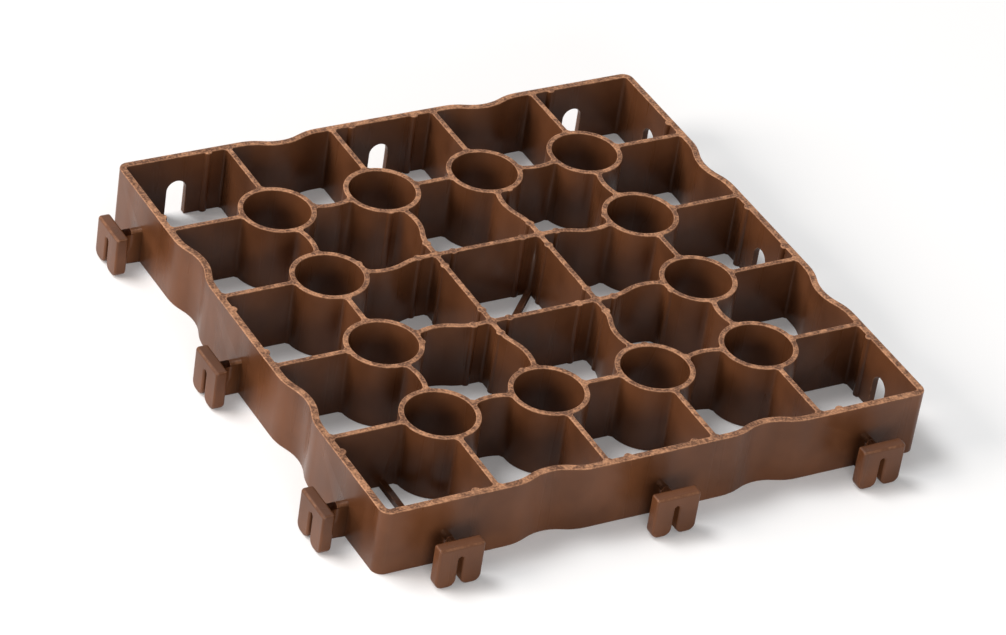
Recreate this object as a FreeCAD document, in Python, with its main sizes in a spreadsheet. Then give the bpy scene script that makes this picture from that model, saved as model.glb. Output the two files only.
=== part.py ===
import FreeCAD, Part
import math
import os
import Sketcher

# Grass paver grid: one moulded square tile, open from top to bottom.
# The origin is the centre of the underside, +X runs to the right, +Y to the back and +Z up.
# Three hooks stand out of the front side and three out of the left side.
# The back and right sides have the arches that drop over the hooks of the next tiles.

# The sizes that drive the tile, in millimetres.
SIZES = [
    ("tile_side", 332.0, "outer side of the square body"),
    ("tile_height", 40.0, "height of the walls"),
    ("cell_pitch", 65.6, "distance from one web line to the next"),
    ("side_wall", 4.0, "thickness of the outer walls"),
    ("web_wall", 3.0, "thickness of the webs between the cells"),
    ("wave_rise", 5.0, "how far a wave leaves its wall line"),
    ("wave_reach", 24.0, "half the length of a wave along its wall line"),
    ("corner_radius", 6.0, "outer rounding of the four upright corners"),
    ("inner_corner_radius", 2.0, "inner rounding of the four upright corners"),
    ("root_flare", 1.5, "flare where the webs meet the rings, the outer walls and each other"),
    ("ring_bore", 19.1, "inner radius of the rings"),
    ("ring_wall", 3.0, "thickness of the rings"),
    ("pad_radius", 2.5, "radius of the upright pads for the mould's ejector pins"),
    ("pad_proud", 1.8, "how far those pads stand out of an outer wall"),
    ("crossing_pad", 11.0, "distance of those pads from a plain crossing"),
    ("side_pad", 12.6, "distance of those pads from a web line on an outer wall"),
    ("ring_pad", 5.0, "distance of those pads from a web line on a ring"),
    ("hook_spacing", 128.7, "distance from one hook to the next along a side"),
    ("neck_width", 5.0, "width of a hook's neck"),
    ("neck_height", 22.0, "height of a hook's neck at its crown"),
    ("neck_length", 13.5, "length of a hook's neck outside the wall"),
    ("bar_width", 26.5, "width of a hook's cross bar"),
    ("bar_depth", 7.0, "thickness of a hook's cross bar"),
    ("bar_height", 25.5, "height of a hook's cross bar"),
    ("bar_rounding", 1.8, "rounding of a cross bar's front top edge"),
    ("leg_radius", 4.4, "rounding of the ends of a hook's two legs"),
    ("slit_width", 2.8, "width of the slit between a hook's two legs"),
    ("slit_height", 18.5, "height of that slit at its crown"),
    ("arch_play", 3.5, "room on each side of a neck in its arch"),
    ("arch_headroom", 1.5, "room above a neck in its arch"),
    ("rib_width", 3.6, "width of the ribs on the underside"),
    ("rib_height", 4.0, "height of the ribs on the underside"),
    ("hub_radius", 8.0, "radius of the moulding gate's hub under the middle cell"),
]

NODE = "paver_grid"
FRONT_TO_LEFT = -90.0
TOUCH = 1e-5
UP = FreeCAD.Vector(0, 0, 1)


def make_sheet(doc):
    """Put every size in a cell of its own, under its name."""
    sheet = doc.addObject("Spreadsheet::Sheet", "sizes")
    for row, (alias, size, meaning) in enumerate(SIZES, start=1):
        sheet.set(f"A{row}", meaning)
        sheet.set(f"B{row}", str(size))
        sheet.setAlias(f"B{row}", alias)
    doc.recompute()
    return sheet


def straight(x0, y0, x1, y1):
    """A straight edge of a sketch."""
    return Part.LineSegment(FreeCAD.Vector(x0, y0), FreeCAD.Vector(x1, y1))


def arc(x, y, radius, first, last):
    """A round edge of a sketch, counter-clockwise between two angles in degrees."""
    circle = Part.Circle(FreeCAD.Vector(x, y), UP, radius)
    return Part.ArcOfCircle(circle, math.radians(first), math.radians(last))


def constraints(kind, places):
    """Constraints of one kind, each on its own edges or points."""
    return [Sketcher.Constraint(kind, *place) for place in places]


class Form:
    """One body of the tile, and the moves that its features share."""

    def __init__(self, doc, sheet, name):
        self.doc = doc
        self.sheet = sheet
        self.body = doc.addObject("PartDesign::Body", name)

    def value(self, expression):
        """The number that an expression over the sheet stands for."""
        return float(self.sheet.evalExpression(expression))

    def origin(self, role):
        """One of the body's own base planes or axes."""
        return next(item for item in self.body.Origin.OriginFeatures if item.Role == role)

    def attach(self, item, plane, turn_axis=UP, turn=0.0):
        """Lay a sketch or a plane on a base plane, turned about one of that plane's own axes."""
        item.AttachmentSupport = [(self.origin(plane), "")]
        item.MapMode = "FlatFace"
        item.AttachmentOffset = FreeCAD.Placement(
            FreeCAD.Vector(), FreeCAD.Rotation(turn_axis, turn))
        return item

    def sketch(self, name, plane="XY_Plane", shift=None, turn=0.0):
        """A sketch on a base plane, shifted by expressions for its own x, y and z."""
        sketch = self.body.newObject("Sketcher::SketchObject", name)
        self.attach(sketch, plane, UP, turn)
        for axis, expression in (shift or {}).items():
            sketch.setExpression(f"AttachmentOffset.Base.{axis}", expression)
        return sketch

    def dimension(self, sketch, name, expression, kind, *where):
        """A named dimension that follows the sheet."""
        index = sketch.addConstraint(Sketcher.Constraint(kind, *where, self.value(expression)))
        sketch.renameConstraint(index, name)
        sketch.setExpression(f"Constraints.{name}", expression)

    def finish(self, feature):
        """Make a feature the body's last one, with faces in one surface merged."""
        feature.Refine = True
        self.body.Tip = feature
        self.doc.recompute()
        return feature

    def pad(self, name, sketch, length):
        """Material added on a sketch."""
        pad = self.body.newObject("PartDesign::Pad", name)
        pad.Profile = sketch
        pad.setExpression("Length", length)
        return self.finish(pad)

    def pocket(self, name, sketch, length):
        """Material cut away behind a sketch, which has to shrink the body."""
        before = self.body.Shape.Volume
        pocket = self.body.newObject("PartDesign::Pocket", name)
        pocket.Profile = sketch
        pocket.setExpression("Length", length)
        self.finish(pocket)
        if self.body.Shape.Volume >= before:
            raise RuntimeError(f"{name} cuts nothing")
        return pocket

    def edges(self, chosen):
        """The last feature, and its edges whose two ends are chosen."""
        shape = self.body.Tip.Shape
        return self.body.Tip, [f"Edge{number}" for number, edge in enumerate(shape.Edges, start=1)
                               if chosen(edge.Vertexes[0].Point, edge.Vertexes[-1].Point)]

    def fillet(self, name, radius, chosen):
        """Round the edges whose two ends are chosen."""
        base = self.edges(chosen)
        fillet = self.body.newObject("PartDesign::Fillet", name)
        fillet.Base = base
        fillet.setExpression("Radius", radius)
        return self.finish(fillet)

    def chamfer(self, name, size, chosen):
        """Flatten the edges whose two ends are chosen."""
        base = self.edges(chosen)
        chamfer = self.body.newObject("PartDesign::Chamfer", name)
        chamfer.Base = base
        chamfer.setExpression("Size", size)
        return self.finish(chamfer)

    def mirror(self, name, plane):
        """The whole body again on the other side of a plane."""
        mirror = self.body.newObject("PartDesign::Mirrored", name)
        mirror.TransformMode = "Whole shape"
        mirror.MirrorPlane = (plane, [""])
        return self.finish(mirror)

    def set_turns(self, pattern, count, angle):
        """Copies about the upright axis, clockwise for a negative angle."""
        pattern.Axis = (self.origin("Z_Axis"), [""])
        pattern.Angle = abs(angle)
        pattern.Occurrences = count
        pattern.Reversed = angle < 0

    def turns(self, name, count, angle):
        """The whole body again, turned about the upright axis."""
        pattern = self.body.newObject("PartDesign::PolarPattern", name)
        pattern.TransformMode = "Whole shape"
        self.set_turns(pattern, count, angle)
        return self.finish(pattern)

    def front_and_left(self, name, count, spacing):
        """The whole body in a row along the front side, and the row again on the left side."""
        row = self.body.newObject("PartDesign::LinearPattern", f"{name}_row")
        row.Direction = (self.origin("X_Axis"), [""])
        row.Occurrences = count
        row.setExpression("Length", f"{count - 1} * {spacing}")
        turned = self.body.newObject("PartDesign::PolarPattern", f"{name}_turn")
        self.set_turns(turned, 2, FRONT_TO_LEFT)
        pattern = self.body.newObject("PartDesign::MultiTransform", name)
        pattern.TransformMode = "Whole shape"
        pattern.Transformations = [row, turned]
        return self.finish(pattern)


def wave_wall(form, name, line, wall, end):
    """Half a wall line at a distance from the centre, waved towards it in the second cell.

    The wave is a crest between two feet, three tangent arcs of one radius on the middle line.
    """
    sketch = form.sketch(f"{name}_plan")
    radius_text = "(sizes.wave_reach ^ 2 + sizes.wave_rise ^ 2) / (4 * sizes.wave_rise)"
    distance, half = form.value(line), form.value(wall) / 2
    radius, reach = form.value(radius_text), form.value("sizes.wave_reach")
    rise, middle = form.value("sizes.wave_rise"), form.value("sizes.cell_pitch")
    outer, inner, stop = -distance - half, -distance + half, form.value(end)
    lean = math.degrees(math.atan2(2 * radius - rise, reach))
    first, last = (middle - reach, radius - distance), (middle + reach, radius - distance)
    crest = (middle, rise - radius - distance)
    sketch.addGeometry([
        straight(0, outer, first[0], outer),
        arc(*first, radius + half, -90, -lean),
        arc(*crest, radius - half, lean, 180 - lean),
        arc(*last, radius + half, 180 + lean, 270),
        straight(last[0], outer, stop, outer),
        straight(stop, outer, stop, inner),
        straight(stop, inner, last[0], inner),
        arc(*last, radius - half, 180 + lean, 270),
        arc(*crest, radius + half, lean, 180 - lean),
        arc(*first, radius - half, -90, -lean),
        straight(first[0], inner, 0, inner),
        straight(0, inner, 0, outer),
    ], False)
    sketch.addConstraint(
        constraints("Tangent", [(0, 2, 1, 1), (1, 2, 2, 2), (2, 1, 3, 1), (3, 2, 4, 1),
                                (6, 2, 7, 2), (7, 1, 8, 1), (8, 2, 9, 2), (9, 1, 10, 1)])
        + constraints("Coincident", [(4, 2, 5, 1), (5, 2, 6, 1), (10, 2, 11, 1), (11, 2, 0, 1),
                                     (1, 3, 9, 3), (2, 3, 8, 3), (3, 3, 7, 3)])
        + constraints("Horizontal", [(0,), (4,), (6,), (10,)])
        + constraints("Vertical", [(5,), (11,)])
        + constraints("PointOnObject", [(0, 1, -2)])
        + constraints("Equal", [(1, 3), (1, 8)]))
    form.dimension(sketch, "outer_face", f"{line} + {wall} / 2", "DistanceY", 0, 1, -1, 1)
    form.dimension(sketch, "thickness", wall, "DistanceY", 0, 1, 10, 2)
    form.dimension(sketch, "wall_end", end, "DistanceX", -1, 1, 4, 2)
    form.dimension(sketch, "crest_place", "sizes.cell_pitch", "DistanceX", -1, 1, 2, 3)
    form.dimension(sketch, "first_foot", "sizes.wave_reach", "DistanceX", 1, 3, 2, 3)
    form.dimension(sketch, "last_foot", "sizes.wave_reach", "DistanceX", 2, 3, 3, 3)
    form.dimension(sketch, "foot_radius", f"{radius_text} + {wall} / 2", "Radius", 1)
    return form.pad(name, sketch, "sizes.tile_height")


def circles(form, name, places, radius, shift=None):
    """Circles of one radius at places given by expressions."""
    sketch = form.sketch(name, shift=shift)
    for number, (across, along) in enumerate(places):
        centre = FreeCAD.Vector(form.value(across), form.value(along))
        sketch.addGeometry(Part.Circle(centre, UP, form.value(radius)), False)
        form.dimension(sketch, f"across_{number}", across, "DistanceX", -1, 1, number, 3)
        form.dimension(sketch, f"along_{number}", along, "DistanceY", -1, 1, number, 3)
        form.dimension(sketch, f"radius_{number}", radius, "Radius", number)
    return sketch


def arch_profile(form, name, shift, width, height):
    """An upright arch on the tile's base plane, round at its crown."""
    sketch = form.sketch(name, "XZ_Plane", shift)
    half, spring = form.value(width) / 2, form.value(f"{height} - {width} / 2")
    sketch.addGeometry([
        straight(-half, 0, half, 0),
        straight(half, 0, half, spring),
        arc(0, spring, half, 0, 180),
        straight(-half, spring, -half, 0),
    ], False)
    sketch.addConstraint(
        constraints("Coincident", [(0, 2, 1, 1), (3, 2, 0, 1)])
        + constraints("Tangent", [(1, 2, 2, 1), (2, 2, 3, 1)])
        + constraints("Horizontal", [(0,)])
        + constraints("Vertical", [(1,), (3,)])
        + constraints("PointOnObject", [(0, 1, -1), (2, 3, -2)]))
    form.dimension(sketch, "width", width, "DistanceX", 0, 1, 0, 2)
    form.dimension(sketch, "spring", f"{height} - {width} / 2", "DistanceY", -1, 1, 2, 3)
    return sketch


def bar_profile(form, shift):
    """A hook's cross bar from the front: two legs with round ends and a slit between them."""
    sketch = form.sketch("bar_profile", "XZ_Plane", shift)
    half, height = form.value("sizes.bar_width / 2"), form.value("sizes.bar_height")
    leg, slit = form.value("sizes.leg_radius"), form.value("sizes.slit_width / 2")
    spring = form.value("sizes.slit_height - sizes.slit_width / 2")
    sketch.addGeometry([
        straight(-half, height, -half, leg),
        arc(leg - half, leg, leg, 180, 270),
        straight(leg - half, 0, -slit - leg, 0),
        arc(-slit - leg, leg, leg, 270, 360),
        straight(-slit, leg, -slit, spring),
        arc(0, spring, slit, 0, 180),
        straight(slit, spring, slit, leg),
        arc(slit + leg, leg, leg, 180, 270),
        straight(slit + leg, 0, half - leg, 0),
        arc(half - leg, leg, leg, 270, 360),
        straight(half, leg, half, height),
        straight(half, height, -half, height),
    ], False)
    sketch.addConstraint(
        constraints("Tangent", [(0, 2, 1, 1), (1, 2, 2, 1), (2, 2, 3, 1), (3, 2, 4, 1),
                                (4, 2, 5, 2), (5, 1, 6, 1), (6, 2, 7, 1), (7, 2, 8, 1),
                                (8, 2, 9, 1), (9, 2, 10, 1)])
        + constraints("Coincident", [(10, 2, 11, 1), (11, 2, 0, 1)])
        + constraints("Vertical", [(0,), (4,), (6,), (10,)])
        + constraints("Horizontal", [(2,), (8,), (11,)])
        + constraints("Equal", [(1, 3), (1, 7), (1, 9)])
        + constraints("PointOnObject", [(2, 1, -1), (8, 1, -1), (5, 3, -2)]))
    form.dimension(sketch, "leg_end", "sizes.leg_radius", "Radius", 1)
    form.dimension(sketch, "slit_crown", "sizes.slit_width / 2", "Radius", 5)
    form.dimension(sketch, "slit_spring", "sizes.slit_height - sizes.slit_width / 2",
                   "DistanceY", -1, 1, 5, 3)
    form.dimension(sketch, "left", "sizes.bar_width / 2", "DistanceX", 0, 1, -1, 1)
    form.dimension(sketch, "right", "sizes.bar_width / 2", "DistanceX", -1, 1, 10, 2)
    form.dimension(sketch, "height", "sizes.bar_height", "DistanceY", -1, 1, 10, 2)
    return sketch


def box_profile(form, name, shift, turn, left, right, low, high):
    """A rectangle in plan, given by expressions for its four sides."""
    sketch = form.sketch(name, "XY_Plane", shift, turn)
    x0, x1, y0, y1 = (form.value(side) for side in (left, right, low, high))
    sketch.addGeometry([
        straight(x0, y0, x1, y0),
        straight(x1, y0, x1, y1),
        straight(x1, y1, x0, y1),
        straight(x0, y1, x0, y0),
    ], False)
    sketch.addConstraint(
        constraints("Coincident", [(0, 2, 1, 1), (1, 2, 2, 1), (2, 2, 3, 1), (3, 2, 0, 1)])
        + constraints("Horizontal", [(0,), (2,)])
        + constraints("Vertical", [(1,), (3,)]))
    form.dimension(sketch, "left", left, "DistanceX", -1, 1, 0, 1)
    form.dimension(sketch, "low", low, "DistanceY", -1, 1, 0, 1)
    form.dimension(sketch, "across", f"({right}) - ({left})", "DistanceX", 0, 1, 0, 2)
    form.dimension(sketch, "along", f"({high}) - ({low})", "DistanceY", 1, 1, 1, 2)
    return sketch


def ring_places():
    """The three rings of the front right quarter."""
    return [(f"{column} * sizes.cell_pitch", f"-{row} * sizes.cell_pitch")
            for column, row in ((0.5, 1.5), (1.5, 1.5), (1.5, 0.5))]


def quarter_walls(grid):
    """Outer walls and webs of the front right quarter, with its rings still filled."""
    web_end = "sizes.tile_side / 2 - sizes.side_wall / 2"
    wave_wall(grid, "side", "sizes.tile_side / 2 - sizes.side_wall / 2",
              "sizes.side_wall", "sizes.tile_side / 2")
    wave_wall(grid, "outer_web", "1.5 * sizes.cell_pitch", "sizes.web_wall", web_end)
    wave_wall(grid, "inner_web", "0.5 * sizes.cell_pitch", "sizes.web_wall", web_end)
    diagonal = grid.body.newObject("PartDesign::Plane", "diagonal")
    grid.attach(diagonal, "YZ_Plane", FreeCAD.Vector(0, 1, 0), 45.0)
    grid.mirror("quarter", diagonal)
    ring_plan = circles(grid, "ring_plan", ring_places(), "sizes.ring_bore + sizes.ring_wall")
    grid.pad("rings", ring_plan, "sizes.tile_height")


def roundings(grid):
    """Round the outer corner of the quarter, inside and out, and flare the roots of its webs."""
    outside = grid.value("sizes.tile_side / 2")
    inside = grid.value("sizes.tile_side / 2 - sizes.side_wall")
    pitch = grid.value("sizes.cell_pitch")
    ring = grid.value("sizes.ring_bore + sizes.ring_wall")
    web = grid.value("sizes.web_wall / 2")

    def upright(chosen):
        """Choose upright edges by their place in plan, folded over the diagonal."""
        def test(low, high):
            plan = math.hypot(high.x - low.x, high.y - low.y)
            return plan < TOUCH < abs(high.z - low.z) and chosen(*sorted((abs(low.x), abs(low.y))))
        return test

    def corner_at(half):
        return upright(lambda near, far: half - near < TOUCH and abs(far - half) < TOUCH)

    def web_root(near, far):
        on_ring = any(abs(math.hypot(near - row * pitch, far - 1.5 * pitch) - ring) < TOUCH
                      for row in (0.5, 1.5))
        near_web = any(abs(abs(near - row * pitch) - web) < TOUCH for row in (0.5, 1.5))
        on_side = near_web and abs(far - inside) < TOUCH
        on_web = near_web and abs(abs(far - 0.5 * pitch) - web) < TOUCH
        return on_ring or on_side or on_web

    grid.fillet("corner", "sizes.corner_radius", corner_at(outside))
    grid.fillet("inner_corner", "sizes.inner_corner_radius", corner_at(inside))
    grid.chamfer("web_roots", "sizes.root_flare", upright(web_root))


def ejector_pads(grid):
    """Upright pads for the ejector pins, on the webs, the outer walls and two of the rings."""
    line = "0.5 * sizes.cell_pitch"
    inner_face = "(sizes.tile_side / 2 - sizes.side_wall)"
    ring_middle = "(sizes.ring_bore + sizes.ring_wall / 2)"
    folded = [
        (f"{line} - sizes.side_pad", f"{inner_face} + sizes.pad_radius - sizes.pad_proud"),
        (f"3 * {line} + sizes.side_pad", f"{inner_face} + sizes.pad_radius - sizes.pad_proud"),
        (f"{line} + sizes.ring_pad", f"3 * {line} - sqrt({ring_middle} ^ 2 - sizes.ring_pad ^ 2)"),
        (f"{line} - sizes.crossing_pad", line),
        (f"{line} + sizes.crossing_pad", line),
    ]
    places = [(near, f"-({far})") for near, far in folded]
    places += [(far, f"-({near})") for near, far in folded]
    grid.pad("pads", circles(grid, "pad_plan", places, "sizes.pad_radius"), "sizes.tile_height")


def make_grid(doc, sheet):
    """The walls, webs and rings: one quarter, then all four."""
    grid = Form(doc, sheet, "grid")
    quarter_walls(grid)
    roundings(grid)
    ejector_pads(grid)
    bore_plan = circles(grid, "bore_plan", ring_places(), "sizes.ring_bore",
                        {"z": "sizes.tile_height"})
    grid.pocket("bores", bore_plan, "sizes.tile_height")
    grid.turns("quarters", 4, 360.0)
    return grid.body


def make_hooks(doc, sheet):
    """The hooks, from the left one of the front side."""
    hooks = Form(doc, sheet, "hooks")
    column, front = "-sizes.hook_spacing", "sizes.tile_side / 2 + sizes.neck_length"
    neck_profile = arch_profile(
        hooks, "neck_profile", {"x": column, "z": "sizes.tile_side / 2 - sizes.side_wall / 2"},
        "sizes.neck_width", "sizes.neck_height")
    hooks.pad("neck", neck_profile, "sizes.side_wall / 2 + sizes.neck_length")
    hooks.pad("bar", bar_profile(hooks, {"x": column, "z": front}), "sizes.bar_depth")
    face, height = -hooks.value(f"{front} + sizes.bar_depth"), hooks.value("sizes.bar_height")

    def front_top(*ends):
        return all(abs(end.y - face) < TOUCH and abs(end.z - height) < TOUCH for end in ends)

    hooks.fillet("bar_edge", "sizes.bar_rounding", front_top)
    hooks.front_and_left("hooks_in_rows", 3, "sizes.hook_spacing")
    return hooks.body


def make_arches(doc, sheet):
    """The room for the next tiles' necks, one hook pitch apart in the back and right walls."""
    arches = Form(doc, sheet, "arches")
    profile = arch_profile(
        arches, "arch_profile",
        {"x": "-sizes.hook_spacing", "z": "-sizes.tile_side / 2 - sizes.side_wall"},
        "(sizes.neck_width + 2 * sizes.arch_play)", "(sizes.neck_height + sizes.arch_headroom)")
    arches.pad("arch", profile, "3 * sizes.side_wall")
    arches.front_and_left("arches_in_rows", 3, "sizes.hook_spacing")
    return arches.body


def make_corner_ribs(doc, sheet):
    """Low ribs that run from the hooks of the corner cells to the first web."""
    ribs = Form(doc, sheet, "corner_ribs")
    plan = box_profile(ribs, "rib_plan", {"x": "-sizes.hook_spacing"}, 0.0,
                       "-sizes.rib_width / 2", "sizes.rib_width / 2",
                       "sizes.side_wall / 2 - sizes.tile_side / 2", "-1.5 * sizes.cell_pitch")
    ribs.pad("rib", plan, "sizes.rib_height")
    ribs.front_and_left("ribs_in_rows", 2, "2 * sizes.hook_spacing")
    return ribs.body


def make_brace(doc, sheet):
    """The cross brace under the middle cell, with the hub of the moulding gate."""
    brace = Form(doc, sheet, "brace")
    reach = "sizes.cell_pitch / sqrt(2)"
    plan = box_profile(brace, "brace_plan", None, 45.0,
                       f"-{reach}", reach, "-sizes.rib_width / 2", "sizes.rib_width / 2")
    brace.pad("bar_of_brace", plan, "sizes.rib_height")
    brace.turns("cross", 2, 90.0)
    hub_plan = brace.sketch("hub_plan")
    hub_plan.addGeometry(Part.Circle(FreeCAD.Vector(), UP, brace.value("sizes.hub_radius")), False)
    hub_plan.addConstraint(Sketcher.Constraint("Coincident", 0, 3, -1, 1))
    brace.dimension(hub_plan, "radius", "sizes.hub_radius", "Radius", 0)
    brace.pad("hub", hub_plan, "sizes.rib_height")
    return brace.body


def make_tile(doc, sheet):
    """One moulding: the grid with its hooks, ribs and brace, cut by the arches."""
    bodies = [make(doc, sheet) for make in (make_grid, make_hooks, make_corner_ribs, make_brace)]
    arches = make_arches(doc, sheet)
    moulding = doc.addObject("Part::MultiFuse", "moulding")
    moulding.Shapes = bodies
    moulding.Refine = False
    tile = doc.addObject("Part::Cut", NODE)
    tile.Base = moulding
    tile.Tool = arches
    tile.Refine = True
    tile.Label = NODE
    doc.recompute()
    return tile


def check(doc, shape):
    """Stop if any object failed or the tile isn't one valid solid."""
    failed = [item.Name for item in doc.Objects
              if any(state in item.State for state in ("Invalid", "Error"))]
    if failed:
        raise RuntimeError(f"failed objects: {failed}")
    if shape.isNull() or not shape.isValid() or len(shape.Solids) != 1:
        raise RuntimeError("the tile isn't one valid solid")


def main():
    """Build the tile and write it."""
    doc = FreeCAD.newDocument("grass_paver")
    tile = make_tile(doc, make_sheet(doc))
    shape = tile.Shape
    check(doc, shape)
    os.makedirs("parts", exist_ok=True)
    shape.exportStep(f"parts/{tile.Label}.step")
    box = shape.optimalBoundingBox(False)
    print(f"{tile.Label}: {box.XLength:.2f} x {box.YLength:.2f} x {box.ZLength:.2f} mm, "
          f"{shape.Volume / 1000:.1f} cm3, {len(shape.Faces)} faces")


main()
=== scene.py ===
import logging
import math
from dataclasses import dataclass, field
from enum import Enum
from typing import Any

import bmesh
import bpy
from mathutils import Matrix, Vector

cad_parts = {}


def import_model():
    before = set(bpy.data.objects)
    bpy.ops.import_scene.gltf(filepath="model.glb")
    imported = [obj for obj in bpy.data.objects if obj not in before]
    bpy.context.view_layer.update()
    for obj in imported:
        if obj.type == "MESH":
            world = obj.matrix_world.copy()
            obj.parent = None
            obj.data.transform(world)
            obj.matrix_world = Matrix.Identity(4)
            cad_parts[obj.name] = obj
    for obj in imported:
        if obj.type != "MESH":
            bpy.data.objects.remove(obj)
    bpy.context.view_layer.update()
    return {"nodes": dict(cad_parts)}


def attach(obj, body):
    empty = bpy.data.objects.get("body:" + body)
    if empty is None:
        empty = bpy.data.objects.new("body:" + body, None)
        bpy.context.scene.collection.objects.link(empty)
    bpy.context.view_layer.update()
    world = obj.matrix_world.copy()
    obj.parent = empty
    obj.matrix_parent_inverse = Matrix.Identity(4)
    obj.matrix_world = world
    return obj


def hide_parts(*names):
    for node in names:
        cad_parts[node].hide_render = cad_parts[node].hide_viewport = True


LOG = logging.getLogger("paver_grid")
BODY = "root"
NODE = "paver_grid"
PIECE = "paver_grid_dressed"
# Face attribute that paints a paler highlight along the rounded edges and a painted glint on
# the hooks' upper faces.
EDGE_HIGHLIGHT = "painted_edge_highlight"

Colour = tuple[float, float, float]
Place = tuple[float, float, float]
Span = tuple[float, float]

WHITE = (1.0, 1.0, 1.0, 1.0)
ROUND_PROFILE = 0.5
KEEP_MATERIAL = -1

# Sockets that share a name on their node go by number.
COLOUR_AMOUNT, COLOUR_FIRST, COLOUR_SECOND, COLOUR_RESULT = 0, 6, 7, 2
SHADER_AMOUNT, SHADER_FIRST, SHADER_SECOND = 0, 1, 2
SUM_FIRST, SUM_SECOND = 0, 1


class Sum(Enum):
    """The sums that signals do."""

    ADD = "ADD"
    MULTIPLY = "MULTIPLY"
    LARGER = "MAXIMUM"


class Signal:
    """A number that varies over a surface; arithmetic on it adds Math nodes."""

    def __init__(self, graph: "Graph", socket: bpy.types.NodeSocket) -> None:
        """Wrap one output socket of a graph."""
        self.graph = graph
        self.socket = socket

    def _math(self, kind: Sum, first: Any, second: Any, clamp: bool = False) -> "Signal":
        """Add one Math node.

        Args:
            kind: the sum that it does.
            first: its first value or link.
            second: its second value or link.
            clamp: whether the result is held between 0 and 1.

        Returns:
            The node's result.
        """
        node = self.graph.node("ShaderNodeMath", {"operation": kind.value, "use_clamp": clamp},
                               {SUM_FIRST: first, SUM_SECOND: second})
        return Signal(self.graph, node.outputs["Value"])

    def __add__(self, other: Any) -> "Signal":
        """This plus other."""
        return self._math(Sum.ADD, self, other)

    def __radd__(self, other: Any) -> "Signal":
        """Other plus this."""
        return self._math(Sum.ADD, other, self)

    def __mul__(self, other: Any) -> "Signal":
        """This times other."""
        return self._math(Sum.MULTIPLY, self, other)

    def most(self, other: Any) -> "Signal":
        """The larger of this and other."""
        return self._math(Sum.LARGER, self, other)

    def held(self) -> "Signal":
        """This, held between 0 and 1."""
        return self._math(Sum.ADD, self, 0.0, clamp=True)


class Graph:
    """The node tree of one material or world."""

    def __init__(self, tree: bpy.types.NodeTree) -> None:
        """Empty a node tree and keep it."""
        self.tree = tree
        tree.nodes.clear()

    def node(self, kind: str, settings: dict[str, Any],
             sockets: dict[Any, Any]) -> bpy.types.Node:
        """Add a node.

        Args:
            kind: the node's type.
            settings: its own settings, set before its sockets.
            sockets: values or links by socket name or number.

        Returns:
            The node.
        """
        node = self.tree.nodes.new(kind)
        for name, value in settings.items():
            setattr(node, name, value)
        for name, value in sockets.items():
            if isinstance(value, Signal):
                self.tree.links.new(value.socket, node.inputs[name])
            elif isinstance(value, bpy.types.NodeSocket):
                self.tree.links.new(value, node.inputs[name])
            else:
                node.inputs[name].default_value = value
        return node

    def signal(self, kind: str, settings: dict[str, Any], sockets: dict[Any, Any],
               output: str) -> Signal:
        """Add a node and wrap one of its outputs.

        Args:
            kind: the node's type.
            settings: its own settings.
            sockets: values or links by socket name or number.
            output: the output's name.

        Returns:
            The output.
        """
        return Signal(self, self.node(kind, settings, sockets).outputs[output])

    def noise(self, vector: Any, scale: float, detail: float, span: Span) -> Signal:
        """A random pattern, stepped smoothly from 0 to 1.

        Args:
            vector: the coordinates that it reads.
            scale: its number of features to the metre.
            detail: its number of finer layers.
            span: where the step starts and ends.

        Returns:
            The pattern.
        """
        raw = self.signal("ShaderNodeTexNoise", {"noise_dimensions": "3D"},
                          {"Vector": vector, "Scale": scale, "Detail": detail}, "Fac")
        return self.step(raw, span)

    def step(self, value: Signal, span: Span) -> Signal:
        """A smooth step from 0 to 1.

        Args:
            value: what is stepped.
            span: where the step starts and ends.

        Returns:
            The step.
        """
        return self.signal("ShaderNodeMapRange", {"interpolation_type": "SMOOTHSTEP"},
                           {"Value": value, "From Min": span[0], "From Max": span[1]}, "Result")

    def mix(self, amount: Any, first: Any, second: Any) -> bpy.types.NodeSocket:
        """Mix two colours.

        Args:
            amount: how much of the second shows.
            first: the colour below.
            second: the colour above.

        Returns:
            The colour that results.
        """
        node = self.node("ShaderNodeMix", {"data_type": "RGBA", "blend_type": "MIX"},
                         {COLOUR_AMOUNT: amount, COLOUR_FIRST: self.opaque(first),
                          COLOUR_SECOND: self.opaque(second)})
        return node.outputs[COLOUR_RESULT]

    def shown(self) -> Signal:
        """Tell a look at a surface from the light that it sends out.

        Returns:
            1 for a look, straight, mirrored or through something clear, and 0 for light.
        """
        rays = self.node("ShaderNodeLightPath", {}, {}).outputs
        seen, mirrored, through = (Signal(self, rays[name]) for name in
                                   ("Is Camera Ray", "Is Glossy Ray", "Is Transmission Ray"))
        return (seen + mirrored + through).held()

    @staticmethod
    def opaque(colour: Any) -> Any:
        """A colour with its alpha, or a link as it is.

        Args:
            colour: a colour of three numbers, or a link.

        Returns:
            What a colour socket takes.
        """
        return (*colour, 1.0) if isinstance(colour, tuple) else colour


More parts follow.
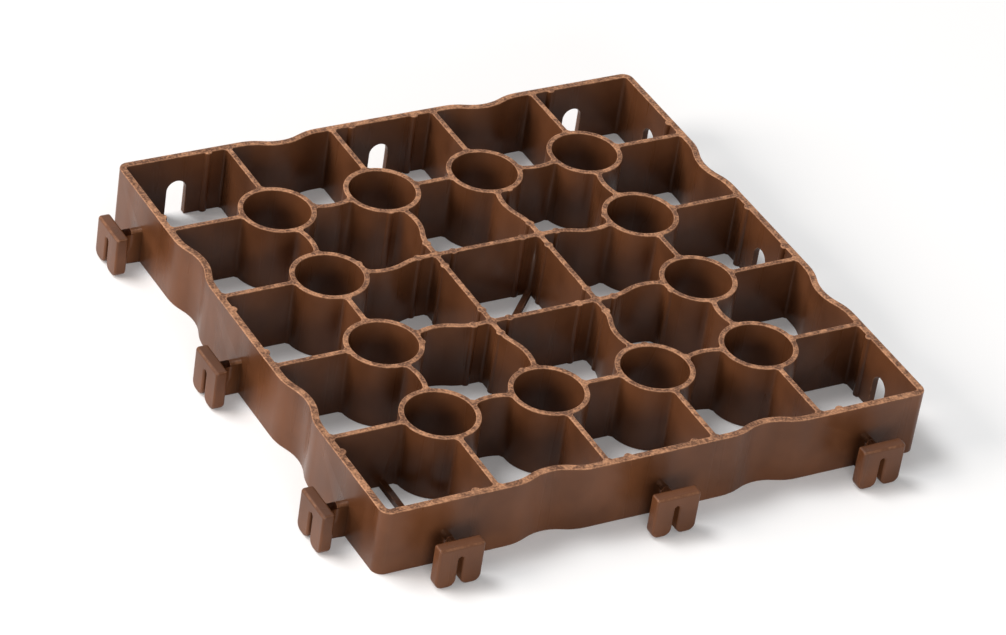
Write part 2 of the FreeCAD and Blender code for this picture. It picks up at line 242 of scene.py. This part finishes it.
@dataclass(frozen=True)
class PlasticFinish:
    """Moulded brown recycled plastic, with speckled scuffs and a painted highlight on its paler
    tops.

    A scale is a number of features to the metre, and a pattern's span is the part of its
    noise that is stepped from 0 to 1. The top's span and the bump's distance are in metres.
    """

    body_dark: Colour = (0.080, 0.0285, 0.0112)
    body_warm: Colour = (0.145, 0.0530, 0.0210)
    blotch_share: float = 0.70
    # Share of the vertical drag streaks in the tone, which also paint a soft vertical sheen on
    # the walls.
    streak_share: float = 0.16
    # Colours of the tops: speckled scuffs between these two, with the pale one also painting a
    # highlight where light falls on the tops.
    top_dark: Colour = (0.105, 0.042, 0.020)
    top_pale: Colour = (0.530, 0.262, 0.138)
    # Painted highlight: on the rounded rims of the tops, and at a share along every edge that
    # the attribute marks.
    rim_highlight: Colour = (0.540, 0.272, 0.147)
    rim_share: float = 0.38
    edge_share: float = 0.34
    top_span: Span = (0.0391, 0.0398)
    blotch_scale: float = 26.0
    blotch_span: Span = (0.32, 0.68)
    streak_scale: float = 95.0
    streak_span: Span = (0.18, 0.82)
    streak_stretch: float = 0.05
    streak_detail: float = 0.5
    speck_scale: float = 780.0
    speck_span: Span = (0.42, 0.64)
    speck_share: float = 0.50
    patch_scale: float = 185.0
    patch_span: Span = (0.43, 0.62)
    grain_scale: float = 2600.0
    grain_span: Span = (0.20, 0.80)
    detail: float = 3.0
    roughness: float = 0.24
    streak_roughness: float = 0.18
    top_and_edge_roughness: float = 0.22
    grain_relief: float = 0.25
    streak_relief: float = 0.40
    speck_relief: float = 1.10
    bump_strength: float = 0.22
    bump_distance: float = 0.00025
    ior: float = 1.46
    specular: float = 0.27

    def material(self, name: str) -> bpy.types.Material:
        """Make the material.

        Args:
            name: the material's name.

        Returns:
            The material.
        """
        material = bpy.data.materials.new(name)
        material.use_nodes = True
        graph = Graph(material.node_tree)
        place = graph.node("ShaderNodeTexCoord", {}, {}).outputs["Object"]
        drawn = graph.node("ShaderNodeMapping", {"vector_type": "POINT"},
                           {"Vector": place, "Scale": (1.0, 1.0, self.streak_stretch)})
        blotch = graph.noise(place, self.blotch_scale, self.detail, self.blotch_span)
        streak = graph.noise(drawn.outputs["Vector"], self.streak_scale,
                             self.streak_detail, self.streak_span)
        speck = graph.noise(place, self.speck_scale, self.detail, self.speck_span)
        patch = graph.noise(place, self.patch_scale, self.detail, self.patch_span)
        grain = graph.noise(place, self.grain_scale, self.detail, self.grain_span)
        height = graph.signal("ShaderNodeSeparateXYZ", {}, {"Vector": place}, "Z")
        # Painted highlight along rounded edges and painted glint on the hooks, read from the
        # face attribute.
        edge = graph.signal("ShaderNodeAttribute", {"attribute_name": EDGE_HIGHLIGHT}, {}, "Fac")
        top = graph.step(height, self.top_span)
        # Mask of the tops, which carry scuffs and a painted highlight, and of the edges with a
        # painted highlight.
        scuff_and_highlight = top.most(edge * self.edge_share)

        # Body tone: random blotches, and vertical drag streaks that also paint a soft vertical
        # sheen on the walls.
        body = graph.mix((blotch * self.blotch_share + streak * self.streak_share).held(),
                         self.body_dark, self.body_warm)
        # Speckled scuffs on the tops, between a dark colour and a pale one that also paints a
        # highlight.
        scuffed_top_and_sheen = graph.mix(speck * self.speck_share + patch * (1.0 - self.speck_share),
                            self.top_dark, self.top_pale)
        # Painted highlight on the rounded rims of the tops.
        rim_highlighted = graph.mix(edge * top * self.rim_share, scuffed_top_and_sheen, self.rim_highlight)
        rough = self.roughness + streak * self.streak_roughness + scuff_and_highlight * self.top_and_edge_roughness
        relief = (grain * self.grain_relief + streak * self.streak_relief
                  + speck * top * self.speck_relief)
        bump = graph.node("ShaderNodeBump", {},
                          {"Strength": self.bump_strength, "Distance": self.bump_distance,
                           "Height": relief})
        shader = graph.node("ShaderNodeBsdfPrincipled", {},
                            {"Base Color": graph.mix(scuff_and_highlight.held(), body, rim_highlighted),
                             "Roughness": rough.held(), "Normal": bump.outputs["Normal"],
                             "IOR": self.ior, "Specular IOR Level": self.specular})
        graph.node("ShaderNodeOutputMaterial", {}, {"Surface": shader.outputs["BSDF"]})
        return material


@dataclass
class PavingTile:
    """The moulded tile, dressed on a copy of its CAD mesh; lengths are in metres."""

    finish: PlasticFinish = field(default_factory=PlasticFinish)
    merge_distance: float = 2e-6
    flat_angle: float = math.radians(0.6)
    sharp_angle: float = math.radians(50.0)
    edge_radius: float = 0.00042
    edge_segments: int = 2
    hook_margin: float = 0.001
    hook_radius: float = 0.0013
    hook_segments: int = 3
    # How strongly the painted glint on the hooks' upward faces and the painted highlight on the
    # walls' rounded edges show.
    hook_glint_slope: Span = (0.35, 0.92)
    hook_glint: float = 0.6
    wall_rim_highlight: float = 1.0
    shading_weight: int = 50

    def outside(self, shape: bmesh.types.BMesh) -> float:
        """The x or y below which a point lies on a hook.

        Args:
            shape: the tile's mesh.

        Returns:
            The coordinate.
        """
        return -max(vert.co.x for vert in shape.verts) - self.hook_margin

    def sharp_edges(self, shape: bmesh.types.BMesh,
                    on_hooks: bool) -> list[bmesh.types.BMEdge]:
        """The convex sharp edges of the hooks, or those of all the rest.

        Args:
            shape: the tile's mesh.
            on_hooks: whether the hooks' edges are wanted, or the others.

        Returns:
            The edges.
        """
        outside = self.outside(shape)
        return [edge for edge in shape.edges
                if len(edge.link_faces) == 2 and edge.is_convex
                and edge.calc_face_angle() > self.sharp_angle
                and on_hooks == any(min(vert.co.x, vert.co.y) < outside
                                    for vert in edge.verts)]

    @staticmethod
    def round_edges(shape: bmesh.types.BMesh, edges: list[bmesh.types.BMEdge], radius: float,
                    segments: int) -> list[bmesh.types.BMFace]:
        """Round some edges.

        Args:
            shape: the tile's mesh.
            edges: the edges.
            radius: how far the rounding reaches from an edge.
            segments: its number of strips.

        Returns:
            The faces of the rounding.
        """
        made = bmesh.ops.bevel(shape, geom=edges, affect="EDGES", offset=radius,
                               offset_type="OFFSET", segments=segments,
                               profile=ROUND_PROFILE, material=KEEP_MATERIAL,
                               clamp_overlap=False)
        return made["faces"]

    def build(self, source: bpy.types.Object) -> bpy.types.Object:
        """Merge the CAD mesh, round its sharp edges and mark the ones that get a painted
        highlight.

        The walls' rounded edges get a painted highlight, and the upper faces of the hooks a
        painted glint.

        Args:
            source: the CAD node's object.

        Returns:
            The dressed piece.
        """
        mesh = bpy.data.meshes.new(PIECE)
        shape = bmesh.new()
        shape.from_mesh(source.data)
        highlight_layer = shape.faces.layers.float.new(EDGE_HIGHLIGHT)
        bmesh.ops.remove_doubles(shape, verts=shape.verts, dist=self.merge_distance)
        bmesh.ops.dissolve_limit(shape, angle_limit=self.flat_angle, verts=shape.verts,
                                 edges=shape.edges, use_dissolve_boundaries=False)
        self.round_edges(shape, self.sharp_edges(shape, True), self.hook_radius,
                         self.hook_segments)
        # The walls' rounded edges get a painted highlight.
        for face in self.round_edges(shape, self.sharp_edges(shape, False), self.edge_radius,
                                     self.edge_segments):
            face[highlight_layer] = self.wall_rim_highlight
        bmesh.ops.remove_doubles(shape, verts=shape.verts, dist=self.merge_distance)
        bmesh.ops.dissolve_degenerate(shape, dist=self.merge_distance, edges=shape.edges)
        shape.normal_update()
        outside = self.outside(shape)
        # Faces on the hooks that slope upward get a painted glint.
        low, high = self.hook_glint_slope
        for face in shape.faces:
            face.smooth = True
            middle = face.calc_center_median()
            if min(middle.x, middle.y) < outside and low < face.normal.z < high:
                face[highlight_layer] = self.hook_glint
        shape.to_mesh(mesh)
        shape.free()
        piece = bpy.data.objects.new(PIECE, mesh)
        bpy.context.scene.collection.objects.link(piece)
        return piece

    def dress(self, piece: bpy.types.Object) -> None:
        """Give the piece its finish and even shading.

        Args:
            piece: the dressed piece.
        """
        piece.data.materials.append(self.finish.material("recycled_brown_plastic"))
        even = piece.modifiers.new("even_shading", "WEIGHTED_NORMAL")
        even.mode = "FACE_AREA"
        even.weight = self.shading_weight
        even.keep_sharp = True


@dataclass(frozen=True)
class FloorFinish:
    """Plain white studio paper, with a share of pure white where it is looked at."""

    colour: Colour = (0.980, 0.980, 0.982)
    roughness: float = 0.8
    specular: float = 0.2
    white_share: float = 0.12
    white_strength: float = 1.0

    def material(self, name: str) -> bpy.types.Material:
        """Make the material.

        Args:
            name: the material's name.

        Returns:
            The material.
        """
        material = bpy.data.materials.new(name)
        material.use_nodes = True
        graph = Graph(material.node_tree)
        shader = graph.node("ShaderNodeBsdfPrincipled", {},
                            {"Base Color": Graph.opaque(self.colour),
                             "Roughness": self.roughness,
                             "Specular IOR Level": self.specular})
        white = graph.node("ShaderNodeEmission", {},
                           {"Color": WHITE, "Strength": self.white_strength})
        paper = graph.node("ShaderNodeMixShader", {},
                           {SHADER_AMOUNT: graph.shown() * self.white_share,
                            SHADER_FIRST: shader.outputs["BSDF"],
                            SHADER_SECOND: white.outputs["Emission"]})
        graph.node("ShaderNodeOutputMaterial", {}, {"Surface": paper.outputs["Shader"]})
        return material


@dataclass(frozen=True)
class Softbox:
    """One square studio lamp, turned to the middle of the tile; in metres and watts."""

    name: str
    place: Place
    size: float
    power: float
    colour: Colour = (1.0, 1.0, 1.0)


@dataclass
class Studio:
    """The floor, the light and the camera round the tile.

    Lengths are in metres, apart from the lens and the sensor, which are in millimetres.
    """

    floor_half: float = 4.0
    floor_drop: float = 0.0001
    sky: float = 0.31
    aim: Place = (-0.008, -0.006, 0.018)
    camera_place: Place = (-1.0854, -1.6353, 1.3839)
    camera_roll: float = math.radians(9.14)
    lens: float = 155.0
    sensor: float = 36.0
    lamps: tuple[Softbox, ...] = (
        Softbox("back_softbox", (-3.22, 3.38, 8.05), 3.6, 465.0),
        Softbox("left_softbox", (-3.6, 0.9, 1.9), 1.8, 112.0, (1.0, 0.93, 0.87)),
        Softbox("front_softbox", (-1.2, -3.2, 0.7), 1.4, 52.0),
    )

    def build_floor(self) -> bpy.types.Object:
        """Lay the floor.

        Returns:
            The floor's object.
        """
        mesh = bpy.data.meshes.new("studio_floor")
        shape = bmesh.new()
        bmesh.ops.create_grid(shape, x_segments=1, y_segments=1, size=self.floor_half,
                              matrix=Matrix.Translation((0.0, 0.0, -self.floor_drop)))
        shape.to_mesh(mesh)
        shape.free()
        floor = bpy.data.objects.new("studio_floor", mesh)
        bpy.context.scene.collection.objects.link(floor)
        mesh.materials.append(FloorFinish().material("studio_paper"))
        return floor

    def build_light(self) -> None:
        """Hang the lamps and set an even sky that is seen and mirrored as white."""
        for lamp in self.lamps:
            data = bpy.data.lights.new(lamp.name, "AREA")
            data.energy, data.size, data.color = lamp.power, lamp.size, lamp.colour
            light = bpy.data.objects.new(lamp.name, data)
            light.location = lamp.place
            light.rotation_euler = (-Vector(lamp.place)).to_track_quat("-Z", "Y").to_euler()
            bpy.context.scene.collection.objects.link(light)
        world = bpy.data.worlds.new("studio_sky")
        bpy.context.scene.world = world
        world.use_nodes = True
        graph = Graph(world.node_tree)
        sky = graph.node("ShaderNodeBackground", {},
                         {"Color": WHITE,
                          "Strength": self.sky + graph.shown() * (1.0 - self.sky)})
        graph.node("ShaderNodeOutputWorld", {}, {"Surface": sky.outputs["Background"]})

    def build_camera(self) -> bpy.types.Object:
        """Set the camera at the photograph's angle to the tile.

        Returns:
            The camera's object.
        """
        data = bpy.data.cameras.new("camera")
        data.lens, data.sensor_width = self.lens, self.sensor
        camera = bpy.data.objects.new("camera", data)
        place = Vector(self.camera_place)
        look = (Vector(self.aim) - place).to_track_quat("-Z", "Y").to_matrix()
        camera.matrix_world = (Matrix.Translation(place)
                               @ (look @ Matrix.Rotation(self.camera_roll, 3, "Z")).to_4x4())
        bpy.context.scene.collection.objects.link(camera)
        bpy.context.scene.camera = camera
        return camera


def main() -> None:
    """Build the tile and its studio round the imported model."""
    logging.basicConfig(level=logging.INFO, format="%(name)s: %(message)s")
    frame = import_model()
    bpy.context.scene.view_settings.view_transform = "Standard"

    tile = PavingTile()
    piece = tile.build(frame["nodes"][NODE])
    tile.dress(piece)
    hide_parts(NODE)
    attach(piece, BODY)
    LOG.info("%s: %d faces", piece.name, len(piece.data.polygons))

    studio = Studio()
    LOG.info("floor: %s", studio.build_floor().name)
    studio.build_light()
    LOG.info("lamps: %d", len(studio.lamps))
    LOG.info("camera: %s", studio.build_camera().name)


if __name__ == "__main__":
    main()
